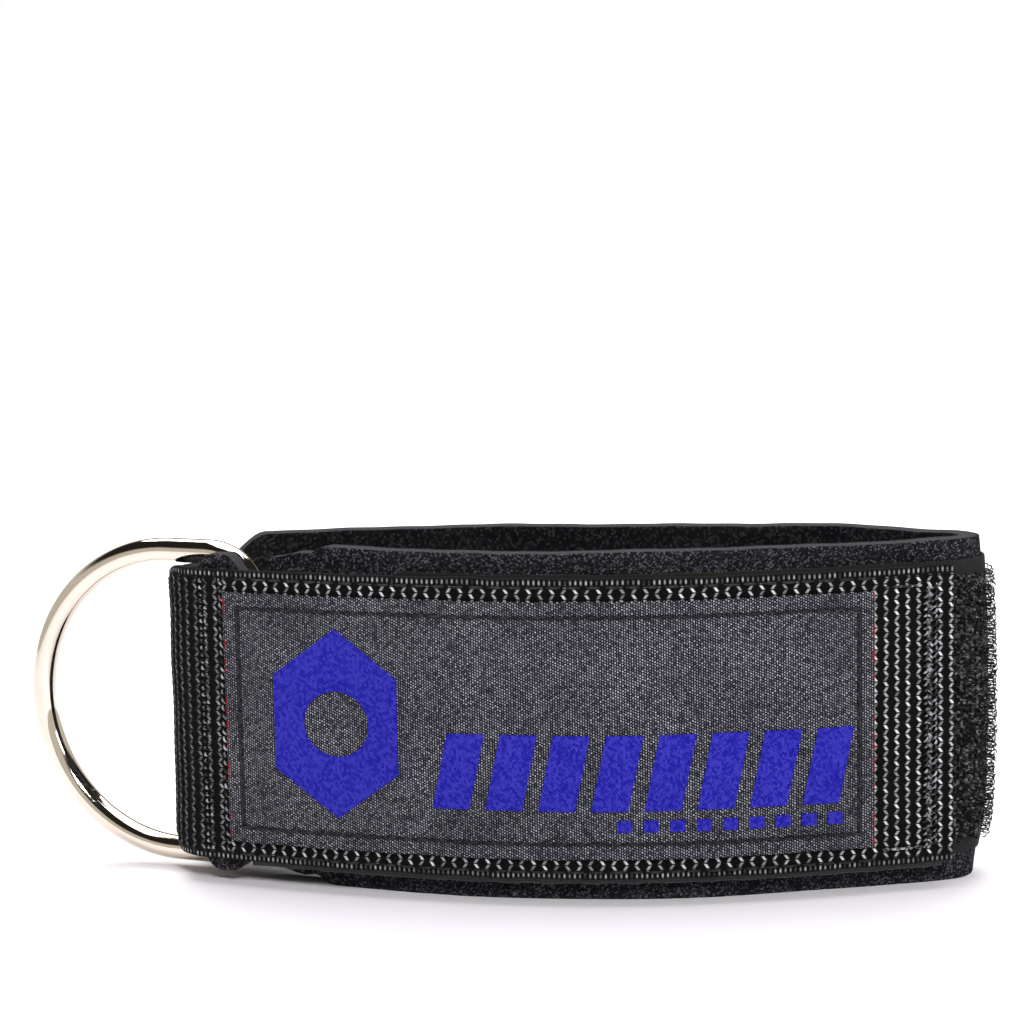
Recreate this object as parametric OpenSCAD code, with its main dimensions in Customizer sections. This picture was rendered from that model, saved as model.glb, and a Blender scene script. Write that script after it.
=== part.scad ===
/* [Band] */
// Height of the padded band, its cut width
band_h = 58; // [54:1:62]
// Thickness of the foam core
foam_t = 3.0; // [2.5:0.1:3.2]
// Thickness of the jersey bonded to the foam's outside
jersey_t = 0.4; // [0.3:0.1:0.5]
// Thickness of the plush lining bonded to the foam's inside
lining_t = 0.6; // [0.4:0.1:0.8]
// Height the band is squeezed to where it passes through the ring
pinch_h = 47; // [44:0.5:47]

/* [Webbing strap] */
// Width of the webbing
web_h = 50; // [48:0.5:51]
// Thickness of the webbing
web_t = 2.0; // [1.6:0.1:2.4]
// Length of the strap's tail, from the fold to its cut end
tail_len = 129; // [120:1:132]
// Distance between the band's bottom edge and the webbing's
web_z = 4.6; // [3:0.1:6]

/* [Loop shape, seen from above] */
// Heading of the front at the fold, where the tail begins
head_fold = -21.5; // [-24:0.5:-19]
// Heading where the front starts to bulge
head_bulge = -14; // [-15:0.5:-13]
// Heading where the bulge ends
head_flat = 9; // [8:0.5:10]
// Heading of the front at the sharp end bend
head_bend = 16.5; // [15.5:0.5:17]
// Heading of the back where it leaves the sharp end bend
head_back = 160; // [157:0.5:163]
// Radius of the front next to the ring
front_r1 = 330; // [300:10:360]
// Radius of the front's bulge
front_r2 = 125; // [120:1:130]
// Radius of the front next to the end bend
front_r3 = 290; // [260:10:320]
// Outer radius of the band at the sharp end bend
bend_r = 6.5; // [6:0.5:7]
// Outer radius of the band at the fold through the ring
fold_r = 8.0; // [7.5:0.5:8.5]

/* [Ring] */
// Outer height of the ring
ring_h = 57; // [56:0.5:58]
// Outer width of the ring, from its straight bar to the top of its bow
ring_w = 47.2; // [44:0.1:48]
// Diameter of the ring's wire
wire_d = 4.2; // [4:0.1:4.4]
// Radius of the ring's corners, on the wire's centreline
corner_r = 9; // [8:0.5:9.5]
// How far the ring's bar sits from the fold, along the tail
bar_along = 6.5; // [6:0.5:8]
// How deep the ring's bar sits behind the tail's face
bar_deep = 9.45; // [9.4:0.05:9.8]
// Heading of the band where it meets the ring's bar
head_bar = -28; // [-28.5:0.5:-27]

/* [Closure] */
// Thickness of the hook tape, hooks included
hook_t = 1.9; // [1.6:0.1:2]
// Thickness of the hook tape's woven base
hook_base_t = 0.5; // [0.4:0.1:0.7]
// Width of the plain edge along each side of the hook tape
hook_margin = 2.4; // [2:0.1:3]
// Thickness of the loop tape on the back of the tail
loop_t = 0.8; // [0.6:0.1:0.9]
// Air left between two faces that can be parted
air = 0.3; // [0.2:0.05:0.4]

/* [Label] */
// Length of the woven label
label_len = 110; // [100:1:112]
// Height of the woven label
label_h = 42.8; // [40:0.1:44]
// Thickness of the woven label
label_t = 0.5; // [0.3:0.1:0.6]
// Where the label starts, measured along the tail from the fold
label_at = 5; // [4.5:0.5:8]
// Thickness of the mark embroidered on the label
mark_t = 0.3; // [0.2:0.1:0.5]

/* [Stitching] */
// Thickness of the sewing thread
thread = 0.5; // [0.4:0.1:0.7]
// Length of one stitch
stitch = 2.2; // [1.5:0.1:2.5]
// Distance from one stitch to the next
stitch_step = 3.2; // [3:0.1:4]

/* [Hidden] */
$fn = 96;

pad_t = foam_t + jersey_t + lining_t;
closure = hook_t + loop_t + air;
web_mid = web_z + web_h / 2;
pinch_lo = web_mid - pinch_h / 2;
pinch_hi = web_mid + pinch_h / 2;
pinch_run = 7;        // length of squeezed band on each side of the ring
tab_pinch = 2.5;      // length of squeezed tail beside the fold
tab_len = 7.4;        // length of band that ends behind the tail
hinge_gap = air;      // gap where the tail meets the fold
lead_in = 3.7;        // from the ring's bar to the band's cut end
hook_lap = 12;        // how far the hook tape runs on past the end bend
hook_from = 28;       // where the hook tape starts, from the ring's bar
web_gap = 2;          // from the hook tape's end to the webbing's start
keeper_t = 1.0;
keeper_h = 33;
keeper_leg = 12;
keeper_play = 0.08;
keeper_turn = 7.5;    // turn of one flat facet of the keeper round the bar, in degrees
facet_turn = 12;      // largest turn of one flat facet of a wall, in degrees
facet_run = 5;        // longest flat facet of a wall
facet_least = 0.05;   // shortest facet at a wall's ends, as a share of a whole one
loop_drop = 1.2;      // the loop tape is sewn on this much low
label_z = web_z + (web_h - label_h) / 2;
loop_short = 1;       // the loop tape ends this far before the tail's cut end
edge_row = 2.4;       // from the webbing's edge to its row of stitches on the back
tail_row = 1.4;       // from the tail's edge to its row of stitches
row_clear = 4;        // left unsewn at the end of a row
twin_gap = 2.5;       // between two rows that anchor an end
fold_gap = 1.2;       // between the two rows beside the fold
tack_gap = 1.4;       // between the two rows of a dense tack
dense_step = 2.6;     // distance from one stitch to the next in a dense row
tack_at = 4;          // from the tail's cut end to its tack
tack_side = 8;        // length of the short rows beside the tack
tack_edge = 3;        // from the tail's edge to those short rows
keeper_row = 6.5;     // from the band's cut end to the keeper's first row
label_hem = 2.6;      // from the label's edge to its stitch line
plate_x = 23.8;       // centre of the mark's plate
plate_w = 24;
plate_tall = 32;
plate_hole = 11;
block_from = 16;      // from the plate's centre to the first block
block_z = 16.4;
block_w = 6;
block_tall = 12.6;
block_lean = 2.6;
block_step = 8.6;
block_count = 8;
dash_from = 46;
dash_drop = 3.6;
dash_w = 2.4;
dash_tall = 2;
dash_count = 9;

// ---------------------------------------------------------------------------
// Plan geometry. The loop is a chain of tangent arcs, walked anticlockwise seen from
// above. An arc is [centre, radius, first heading, last heading]; its outer side is
// the larger radius, and heading h is at the polar angle h - 90.
// ---------------------------------------------------------------------------
CENTRE = 0;
RADIUS = 1;
FIRST = 2;
LAST = 3;

function outward(heading) = [cos(heading - 90), sin(heading - 90)];
function heading_of(v) = let (a = atan2(v[1], v[0]) + 90) a > 180 ? a - 360 : a;
function length_of(arc) = arc[RADIUS] * (arc[LAST] - arc[FIRST]) * PI / 180;
function heading_at(arc, run) = arc[FIRST] + run / arc[RADIUS] * 180 / PI;
function point_on(arc, heading, off = 0) = arc[CENTRE] + (arc[RADIUS] + off) * outward(heading);
function next_centre(arc, radius, heading) = arc[CENTRE] + (arc[RADIUS] - radius) * outward(heading);
// Radius of the arc that leaves point p at a heading and runs tangent into a circle
function join_radius(p, heading, centre, radius) =
    let (d = centre - p) (d * d - radius * radius) / (2 * (d * -outward(heading) - radius));

// Outer face of the tail, from the fold to beyond its cut end
fold_point = [0, 0];
tail_1 = [fold_point - front_r1 * outward(head_fold), front_r1, head_fold, head_bulge];
tail_2 = [next_centre(tail_1, front_r2, head_bulge), front_r2, head_bulge, head_flat];
tail_3_centre = next_centre(tail_2, front_r3, head_flat);
tail_3_run = tail_len - length_of(tail_1) - length_of(tail_2);
tail_3 = [tail_3_centre, front_r3, head_flat, head_flat + tail_3_run / front_r3 * 180 / PI];
TAIL = [tail_1, tail_2, tail_3];

// The ring's bar, and the band's outer face from the bar to the end bend
bar_heading = heading_at(tail_1, bar_along);
bar = point_on(tail_1, bar_heading, -bar_deep);
depth = web_t + closure;
lead_start = bar + pad_t / 2 * outward(head_bar);
lead_r = join_radius(lead_start, head_bar, tail_2[CENTRE], front_r2 - depth);
lead_centre = lead_start - lead_r * outward(head_bar);
head_join = heading_of((lead_centre - tail_2[CENTRE]) / (front_r2 - depth - lead_r));
lead = [lead_centre, lead_r, head_bar, head_join];
bulge = [tail_2[CENTRE], front_r2 - depth, head_join, head_flat];
flat = [tail_3_centre, front_r3 - depth, head_flat, head_bend];
bend = [next_centre(flat, bend_r, head_bend), bend_r, head_bend, head_back];

// The back, then the fold through the ring, which ends where the tail begins
fold_centre = next_centre(tail_1, fold_r + web_t, head_fold);
back_start = point_on(bend, head_back);
back_r = join_radius(back_start, head_back, fold_centre, fold_r);
back_centre = back_start - back_r * outward(head_back);
head_in = heading_of((fold_centre - back_centre) / (back_r - fold_r)) + 360;
back = [back_centre, back_r, head_back, head_in];
fold_end = head_fold + 360 - hinge_gap / (fold_r + web_t) * 180 / PI;
fold = [fold_centre, fold_r, head_in, fold_end];
band_start = heading_at(lead, lead_in);
pinch_from = heading_at(back, length_of(back) - pinch_run);
hook_start = heading_at(lead, hook_from);
hook_end = heading_at(back, hook_lap);
web_start = heading_at(back, hook_lap + web_gap);
pinch_route = concat(walk(back, pinch_from, head_in), walk(fold, head_in, fold_end));

// The ring lies in an upright plane, parallel to the tail beside the fold
ring_heading = bar_heading;
ring_bow = ring_h / 2 - wire_d / 2;
bow_at = ring_w - ring_h / 2 - wire_d / 2;

// Bounding box of the whole cuff at rest, for its origin
ring_far = bar - (ring_w - wire_d) * [cos(ring_heading), sin(ring_heading)];
x_low = ring_far[0] - wire_d / 2;
x_high = bend[CENTRE][0] + bend_r + hook_t;
y_low = tail_2[CENTRE][1] - front_r2 - label_t - max(mark_t, thread);
y_high = back_centre[1] + back_r + web_t + thread;
home = [-(x_low + x_high) / 2, -(y_low + y_high) / 2, 0];

// ---------------------------------------------------------------------------
// Building blocks
// ---------------------------------------------------------------------------

// Stations along an arc, each a point on its outer face and the outward direction. The
// layers share one grid of headings, so that faces that touch meet facet on facet
function walk(arc, first, last) =
    let (step = min(facet_turn, facet_run / arc[RADIUS] * 180 / PI),
         from = ceil((first - arc[FIRST]) / step + facet_least),
         to = floor((last - arc[FIRST]) / step - facet_least),
         inside = [for (i = [from:1:to]) arc[FIRST] + i * step])
    [for (h = concat([first], inside, [last])) [point_on(arc, h), outward(h)]];

// Upright wall that follows a list of stations, between two offsets from the outer face
module wall(route, inner, outer, z0, z1) {
    far = [for (s = route) s[0] + outer * s[1]];
    near = [for (i = [len(route) - 1:-1:0]) route[i][0] + inner * route[i][1]];
    translate([0, 0, z0]) linear_extrude(height = z1 - z0) polygon(concat(far, near));
}

// Stations along the whole band that stays at its full height
function band_route() = concat(
    walk(lead, band_start, head_join), walk(bulge, head_join, head_flat),
    walk(flat, head_flat, head_bend), walk(bend, head_bend, head_back),
    walk(back, head_back, pinch_from));

// One layer of the band, from its cut end round to the fold
module band_layer(inner, outer) {
    wall(band_route(), inner, outer, 0, band_h);
    wall(pinch_route, inner, outer, pinch_lo, pinch_hi);
}

// One layer of the short end of the band that shows past the ring, behind the tail
module tab_layer(inner, outer) {
    wall(tail_route(0, tab_pinch), inner - web_t, outer - web_t, pinch_lo, pinch_hi);
    wall(tail_route(tab_pinch, tab_len), inner - web_t, outer - web_t, 0, band_h);
}

// Arc that holds a distance along the tail, and how much tail lies before that arc
function tail_index(run) =
    run < length_of(tail_1) ? 0 : run < length_of(tail_1) + length_of(tail_2) ? 1 : 2;
function tail_before(i) = i == 0 ? 0 : length_of(TAIL[i - 1]) + tail_before(i - 1);
function tail_heading(i, run) = heading_at(TAIL[i], run - tail_before(i));

// Stations along the tail between two distances from the fold
function tail_route(from, to) = [
    for (i = [0:2])
        let (first = max(from, tail_before(i)),
             last = i < 2 ? min(to, tail_before(i + 1)) : to)
        if (last > first) each walk(TAIL[i], tail_heading(i, first), tail_heading(i, last))
];

// A layer of the tail, between two offsets from its face
module tail_layer(inner, outer, z0, z1, from, to) wall(tail_route(from, to), inner, outer, z0, z1);

// Places its children on the tail's face: +X along the tail, -Y away from it
module on_tail(run, z, off = 0) {
    i = tail_index(run);
    h = tail_heading(i, run);
    p = point_on(TAIL[i], h, off);
    translate([p[0], p[1], z]) rotate([0, 0, h]) children();
}

// Places its children on an arc of the band: +X along it, -Y outward
module on_arc(arc, heading, z, off = 0) {
    p = point_on(arc, heading, off);
    translate([p[0], p[1], z]) rotate([0, 0, heading]) children();
}

// A stitch lying along the seam, and one standing upright
module stitch_along() translate([-stitch / 2, -thread, -thread / 2]) cube([stitch, thread, thread]);
module stitch_up() translate([-thread / 2, -thread, -stitch / 2]) cube([thread, thread, stitch]);

// Evenly spaced stations from a to b
function stations(a, b, step) =
    let (n = floor((b - a) / step), rest = (b - a - n * step) / 2) [for (i = [0:n]) a + rest + i * step];

// ---------------------------------------------------------------------------
// Band
// ---------------------------------------------------------------------------
module foam_core() color("dimgray") band_layer(-jersey_t - foam_t, -jersey_t);
module outer_jersey() color("black") band_layer(-jersey_t, 0);
module plush_lining() color("black") band_layer(-pad_t, -jersey_t - foam_t);

module webbing_band() color("black") {
    wall(walk(back, web_start, pinch_from), 0, web_t, web_z, web_z + web_h);
    wall(pinch_route, 0, web_t, pinch_lo, pinch_hi);
}

hook_route = concat(
    walk(lead, hook_start, head_join), walk(bulge, head_join, head_flat),
    walk(flat, head_flat, head_bend), walk(bend, head_bend, head_back),
    walk(back, head_back, hook_end));

module hook_layer(inner, outer, margin)
    wall(hook_route, inner, outer, web_z + margin, web_z + web_h - margin);

module hook_tape() color("dimgray") {
    hook_layer(0, hook_base_t, 0);
    hook_layer(hook_base_t, hook_t, hook_margin);
}

// Rows of stitches along both plain edges of the hook tape, where it lies on the bend and the back
module hook_tape_stitches() color("black")
    for (z = [web_z + hook_margin / 2, web_z + web_h - hook_margin / 2]) {
        for (s = stations(stitch_step, hook_lap - stitch_step / 2, stitch_step))
            on_arc(back, heading_at(back, s), z, hook_base_t) stitch_along();
        for (s = stations(stitch_step, length_of(flat), stitch_step))
            on_arc(flat, heading_at(flat, s), z, hook_base_t) stitch_along();
    }

// Rows of stitches along both edges of the webbing on the back
module webbing_edge_stitches() color("black")
    for (z = [web_z + edge_row, web_z + web_h - edge_row],
         s = stations(hook_lap + web_gap + row_clear, length_of(back) - pinch_run - stitch, stitch_step))
        on_arc(back, heading_at(back, s), z, web_t) stitch_along();

// Two upright rows that anchor the webbing's start
module webbing_start_bartack() color("black")
    for (s = [hook_lap + web_gap + stitch, hook_lap + web_gap + stitch + twin_gap],
         z = stations(web_z + row_clear, web_z + web_h - row_clear, stitch_step))
        on_arc(back, heading_at(back, s), z, web_t) stitch_up();

// ---------------------------------------------------------------------------
// Ring and its keeper
// ---------------------------------------------------------------------------

// The ring's own plane: +X away from the bar towards the bow, +Y up
module in_ring_plane()
    translate([bar[0], bar[1], web_mid])
    rotate([0, 0, ring_heading + 180])
    rotate([90, 0, 0])
    children();

module d_ring() color("silver") in_ring_plane() {
    bar_half = ring_bow - corner_r;
    translate([0, -bar_half, 0]) rotate([-90, 0, 0]) cylinder(d = wire_d, h = 2 * bar_half);
    for (side = [1, -1]) {
        translate([corner_r, side * bar_half, 0])
        rotate([0, 0, side > 0 ? 90 : 180])
        rotate_extrude(angle = 90) translate([corner_r, 0]) circle(d = wire_d);
        translate([corner_r, side * ring_bow, 0])
        rotate([0, 90, 0]) cylinder(d = wire_d, h = bow_at - corner_r);
    }
    translate([bow_at, 0, 0])
    rotate([0, 0, -90])
    rotate_extrude(angle = 180) translate([ring_bow, 0]) circle(d = wire_d);
}

// Stations round the ring's bar, on the keeper's inner face, from the band's outside to its inside
bore = wire_d / 2 + keeper_play;
keeper_legs = walk(lead, head_bar, heading_at(lead, lead_in + keeper_leg));
keeper_round = [for (a = [keeper_turn:keeper_turn:180 - keeper_turn])
    [bar + bore * outward(head_bar - a), outward(head_bar - a)]];

// Stations on a keeper leg, at an offset from the band's mid-thickness
function keeper_leg_at(off) = [for (s = keeper_legs) s[0] + (off - pad_t / 2) * s[1]];
function reversed(list) = [for (i = [len(list) - 1:-1:0]) list[i]];

// Outline of the keeper's face at a distance from the bar: outer leg, round part, inner leg
function keeper_face(reach) = concat(
    reversed(keeper_leg_at(reach)), [for (s = keeper_round) s[0] + (reach - bore) * s[1]],
    keeper_leg_at(-reach));

// Short loop of webbing round the bar, with a leg on each side of the band
module ring_keeper() color("black")
    translate([0, 0, web_mid - keeper_h / 2])
    linear_extrude(height = keeper_h)
    polygon(concat(keeper_face(bore + keeper_t), reversed(keeper_face(bore))));

// Two upright rows through the keeper's outer leg
module keeper_stitches() color("black")
    for (s = [lead_in + keeper_row, lead_in + keeper_row + twin_gap],
         z = stations(web_mid - keeper_h / 2 + stitch, web_mid + keeper_h / 2 - stitch, stitch_step))
        on_arc(lead, heading_at(lead, s), z, bore + keeper_t - pad_t / 2)
        stitch_up();

// ---------------------------------------------------------------------------
// Tail
// ---------------------------------------------------------------------------
module foam_tab() color("dimgray") tab_layer(-jersey_t - foam_t, -jersey_t);
module jersey_tab() color("black") tab_layer(-jersey_t, 0);
module lining_tab() color("black") tab_layer(-pad_t, -jersey_t - foam_t);

module webbing_tail() color("black") {
    tail_layer(-web_t, 0, pinch_lo, pinch_hi, 0, tab_pinch);
    tail_layer(-web_t, 0, web_z, web_z + web_h, tab_pinch, tab_len);
    tail_layer(-web_t, 0, web_z, web_z + web_h, tab_len, tail_len);
}

module loop_tape() color("dimgray")
    tail_layer(-web_t - loop_t, -web_t, web_z - loop_drop, web_z + web_h - loop_drop,
               tab_len + air, tail_len - loop_short);

module woven_label() color("darkslategray")
    tail_layer(0, label_t, label_z, label_z + label_h, label_at, label_at + label_len);

// Plain geometric mark: an upright six-sided plate with a round hole, a row of slanted
// blocks and a row of small dashes under them
module label_mark() color("mediumblue") intersection() {
    tail_layer(label_t, label_t + mark_t, label_z, label_z + label_h, label_at, label_at + label_len);
    rotate([90, 0, 0]) linear_extrude(height = 2 * band_h, center = true) mark_outline();
}

module mark_outline() {
    translate([plate_x, web_mid]) difference() {
        polygon([for (a = [30:60:330]) plate_tall / 2 * [cos(a) * plate_w / plate_tall, sin(a)]]);
        circle(d = plate_hole);
    }
    for (i = [0:block_count - 1])
        translate([plate_x + block_from + i * block_step, block_z])
        polygon([[0, 0], [block_w, 0], [block_w + block_lean, block_tall], [block_lean, block_tall]]);
    for (i = [0:dash_count - 1])
        translate([plate_x + dash_from + i * block_step / 2, block_z - dash_drop])
        square([dash_w, dash_tall]);
}

module label_stitches() color("black") {
    first = label_at + label_hem;
    last = label_at + label_len - label_hem;
    for (z = [label_z + label_hem, label_z + label_h - label_hem], s = stations(first, last, stitch_step))
        on_tail(s, z, label_t) stitch_along();
    for (s = [first, last], z = stations(label_z + row_clear, label_z + label_h - row_clear, stitch_step))
        on_tail(s, z, label_t) stitch_up();
}

// Double row close to the fold that holds the band's end to the webbing
module fold_stitches() color("black")
    for (s = [tab_pinch + thread, tab_pinch + thread + fold_gap],
         z = stations(web_z + tack_edge, web_z + web_h - tack_edge, dense_step))
        on_tail(s, z) stitch_up();

// Dense upright tack near the cut end, with a short row at its top and bottom
module tail_end_bartack() color("black") {
    tack = tail_len - tack_at;
    for (s = [tack - tack_gap / 2, tack + tack_gap / 2],
         z = stations(web_z + row_clear, web_z + web_h - row_clear, dense_step))
        on_tail(s, z) stitch_up();
    for (z = [web_z + tack_edge, web_z + web_h - tack_edge],
         s = stations(tack - tack_side, tack - stitch, stitch_step))
        on_tail(s, z) stitch_along();
}

// Rows along both edges of the tail that hold the loop tape
module tail_edge_stitches() color("black")
    for (z = [web_z + tail_row, web_z + web_h - tail_row],
         s = stations(tab_pinch + row_clear, tail_len - tack_at - tack_side - stitch, stitch_step))
        on_tail(s, z) stitch_along();

translate(home) {
    foam_core();
    outer_jersey();
    plush_lining();
    webbing_band();
    hook_tape();
    ring_keeper();
    keeper_stitches();
    hook_tape_stitches();
    webbing_edge_stitches();
    webbing_start_bartack();
    d_ring();
    foam_tab();
    jersey_tab();
    lining_tab();
    webbing_tail();
    loop_tape();
    woven_label();
    label_mark();
    label_stitches();
    fold_stitches();
    tail_end_bartack();
    tail_edge_stitches();
}
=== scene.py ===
import math
import random

import bpy
import numpy as np
from mathutils import Matrix, Vector


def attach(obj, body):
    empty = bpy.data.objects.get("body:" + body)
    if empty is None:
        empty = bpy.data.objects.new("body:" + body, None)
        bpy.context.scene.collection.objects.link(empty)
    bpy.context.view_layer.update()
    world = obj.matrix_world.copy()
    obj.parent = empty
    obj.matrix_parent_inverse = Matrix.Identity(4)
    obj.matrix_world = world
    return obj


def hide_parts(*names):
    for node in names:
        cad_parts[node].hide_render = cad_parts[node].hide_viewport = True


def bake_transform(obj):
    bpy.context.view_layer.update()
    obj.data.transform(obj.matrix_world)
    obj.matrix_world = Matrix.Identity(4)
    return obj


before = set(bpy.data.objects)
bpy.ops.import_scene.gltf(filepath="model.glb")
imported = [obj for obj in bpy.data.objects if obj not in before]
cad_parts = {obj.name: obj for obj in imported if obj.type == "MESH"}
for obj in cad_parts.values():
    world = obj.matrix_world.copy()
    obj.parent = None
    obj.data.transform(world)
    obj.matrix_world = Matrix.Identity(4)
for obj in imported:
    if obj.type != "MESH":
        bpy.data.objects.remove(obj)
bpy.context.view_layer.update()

# ---- Driving dimensions, the same as the CAD model's, in millimetres and degrees ----
MM = 0.001
BAND_H = 58.0
FOAM_T = 3.0
JERSEY_T = 0.4
LINING_T = 0.6
PAD_T = FOAM_T + JERSEY_T + LINING_T
PINCH_H = 47.0
WEB_H = 50.0
WEB_T = 2.0
WEB_Z = 4.6
WEB_MID = WEB_Z + WEB_H / 2
TAIL_LEN = 129.0
TAB_LEN = 7.4
HEAD_FOLD = -21.5
HEAD_BULGE = -14.0
HEAD_FLAT = 9.0
HEAD_BEND = 16.5
HEAD_BACK = 160.0
FRONT_R1 = 330.0
FRONT_R2 = 125.0
FRONT_R3 = 290.0
BEND_R = 6.5
FOLD_R = 8.0
RING_H = 57.0
RING_W = 47.2
WIRE_D = 4.2
CORNER_R = 9.0
BAR_ALONG = 6.5
BAR_DEEP = 9.45
HEAD_BAR = -28.0
LEAD_IN = 3.7
HOOK_T = 1.9
HOOK_BASE_T = 0.5
HOOK_MARGIN = 2.4
HOOK_FROM = 28.0
HOOK_LAP = 12.0
WEB_GAP = 2.0
LOOP_T = 0.8
LOOP_DROP = 1.2
AIR = 0.3
KEEPER_T = 1.0
KEEPER_H = 33.0
KEEPER_LEG = 12.0
KEEPER_PLAY = 0.08
LABEL_LEN = 110.0
LABEL_H = 42.8
LABEL_T = 0.5
LABEL_AT = 5.0
LABEL_HEM = 2.6
MARK_T = 0.3
THREAD = 0.5


# ---- Plan of the cuff: chains of tangent arcs, walked anticlockwise seen from above ----
def outward(heading):
    """Unit vectors to the outside of a path, at headings in degrees."""
    angle = np.radians(np.asarray(heading, float) - 90)
    return np.stack([np.cos(angle), np.sin(angle)], axis=-1)


def heading_of(vector):
    """Heading of the path whose outward direction is this vector."""
    angle = math.degrees(math.atan2(vector[1], vector[0])) + 90
    return angle - 360 if angle > 180 else angle


class Arc:
    """A stretch of plan path: centre, radius, first and last heading."""

    def __init__(self, centre, radius, first, last):
        self.centre = np.asarray(centre, float)
        self.radius = radius
        self.first = first
        self.last = last

    def length(self):
        return self.radius * math.radians(self.last - self.first)

    def heading_at(self, run):
        return self.first + np.degrees(run / self.radius)

    def point(self, heading, off=0.0):
        return self.centre + (self.radius + off) * outward(heading)

    def next_centre(self, radius, heading):
        return self.centre + (self.radius - radius) * outward(heading)

    def offset(self, off):
        return Arc(self.centre, self.radius + off, self.first, self.last)


def join_radius(point, heading, centre, radius):
    """Radius of the arc that leaves a point at a heading and runs tangent into a circle."""
    away = centre - point
    return (away @ away - radius**2) / (2 * (away @ -outward(heading) - radius))


class Route:
    """A chain of arcs that is sampled by the distance run along it."""

    def __init__(self, arcs):
        self.arcs = arcs
        self.ends = np.cumsum([arc.length() for arc in arcs])
        self.length = self.ends[-1]

    def sample(self, runs):
        """Points on the path and outward directions, at distances along it."""
        runs = np.asarray(runs, float)
        index = np.clip(np.searchsorted(self.ends, runs), 0, len(self.arcs) - 1)
        points = np.zeros((len(runs), 2))
        normals = np.zeros((len(runs), 2))
        for i, arc in enumerate(self.arcs):
            here = index == i
            before = self.ends[i] - arc.length()
            heading = arc.heading_at(runs[here] - before)
            points[here] = arc.point(heading)
            normals[here] = outward(heading)
        return points, normals


def plan():
    """Works out every arc of the cuff, and where its parts begin and end."""
    tail_1 = Arc(-FRONT_R1 * outward(HEAD_FOLD), FRONT_R1, HEAD_FOLD, HEAD_BULGE)
    tail_2 = Arc(tail_1.next_centre(FRONT_R2, HEAD_BULGE), FRONT_R2, HEAD_BULGE, HEAD_FLAT)
    centre_3 = tail_2.next_centre(FRONT_R3, HEAD_FLAT)
    run_3 = TAIL_LEN - tail_1.length() - tail_2.length()
    tail_3 = Arc(centre_3, FRONT_R3, HEAD_FLAT, HEAD_FLAT + math.degrees(run_3 / FRONT_R3))
    bar_heading = tail_1.heading_at(BAR_ALONG)
    bar = tail_1.point(bar_heading, -BAR_DEEP)
    depth = WEB_T + HOOK_T + LOOP_T + AIR
    start = bar + PAD_T / 2 * outward(HEAD_BAR)
    lead_r = join_radius(start, HEAD_BAR, tail_2.centre, FRONT_R2 - depth)
    lead_centre = start - lead_r * outward(HEAD_BAR)
    head_join = heading_of((lead_centre - tail_2.centre) / (FRONT_R2 - depth - lead_r))
    lead = Arc(lead_centre, lead_r, HEAD_BAR, head_join)
    bulge = Arc(tail_2.centre, FRONT_R2 - depth, head_join, HEAD_FLAT)
    flat = Arc(centre_3, FRONT_R3 - depth, HEAD_FLAT, HEAD_BEND)
    bend = Arc(flat.next_centre(BEND_R, HEAD_BEND), BEND_R, HEAD_BEND, HEAD_BACK)
    fold_centre = tail_1.next_centre(FOLD_R + WEB_T, HEAD_FOLD)
    back_start = bend.point(HEAD_BACK)
    back_r = join_radius(back_start, HEAD_BACK, fold_centre, FOLD_R)
    back_centre = back_start - back_r * outward(HEAD_BACK)
    head_in = heading_of((fold_centre - back_centre) / (back_r - FOLD_R)) + 360
    back = Arc(back_centre, back_r, HEAD_BACK, head_in)
    fold = Arc(fold_centre, FOLD_R, head_in, HEAD_FOLD + 360)
    x_low = bar[0] - (RING_W - WIRE_D) * math.cos(math.radians(bar_heading)) - WIRE_D / 2
    x_high = bend.centre[0] + BEND_R + HOOK_T
    y_low = tail_2.centre[1] - FRONT_R2 - LABEL_T - max(MARK_T, THREAD)
    y_high = back_centre[1] + back_r + WEB_T + THREAD
    home = -np.array([x_low + x_high, y_low + y_high]) / 2
    arcs = [tail_1, tail_2, tail_3, lead, bulge, flat, bend, back, fold]
    for arc in arcs:
        arc.centre = arc.centre + home
    return arcs, bar + home, bar_heading


(TAIL_1, TAIL_2, TAIL_3, LEAD, BULGE, FLAT, BEND, BACK, FOLD), BAR, RING_HEADING = plan()
PAD = Route([LEAD, BULGE, FLAT, BEND, BACK, FOLD, TAIL_1.offset(-WEB_T)])
STRAP = Route([BACK.offset(WEB_T), FOLD.offset(WEB_T), TAIL_1, TAIL_2, TAIL_3])
PAD_BEND = PAD.ends[2]       # distances along the pad's route
PAD_BACK = PAD.ends[3]
PAD_FOLD = PAD.ends[4]
PAD_TAB = PAD.ends[5]
HEAD_CROSS = 253.0           # heading of the fold where it passes through the ring
STRAP_FOLD = STRAP.ends[0]   # distances along the strap's route
STRAP_TAIL = STRAP.ends[1]
STRAP_CROSS = STRAP_FOLD + (FOLD.radius + WEB_T) * math.radians(HEAD_CROSS - FOLD.first)
BORE = WIRE_D / 2 + KEEPER_PLAY
HINGE_SPAN = 9.6             # a depth behind the tail's hinge
HINGE = TAIL_1.point(HEAD_FOLD)


# ---- Small tools for shapes ----
def smooth(values, low, high):
    """0 below low, 1 above high, and an S-curve between them."""
    t = np.clip((np.asarray(values, float) - low) / (high - low), 0, 1)
    return t * t * (3 - 2 * t)


def waves(a, b, scale, seed, count=5):
    """Gentle unevenness between about -1 and 1 over a surface with coordinates a and b."""
    rng = random.Random(seed)
    total = 0
    for _ in range(count):
        angle = rng.uniform(0, 2 * math.pi)
        pitch = scale * rng.uniform(0.6, 1.6)
        phase = rng.uniform(0, 2 * math.pi)
        total = total + np.sin((a * math.cos(angle) + b * math.sin(angle)) * 2 * math.pi / pitch + phase)
    return total / math.sqrt(count * 2)


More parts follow.
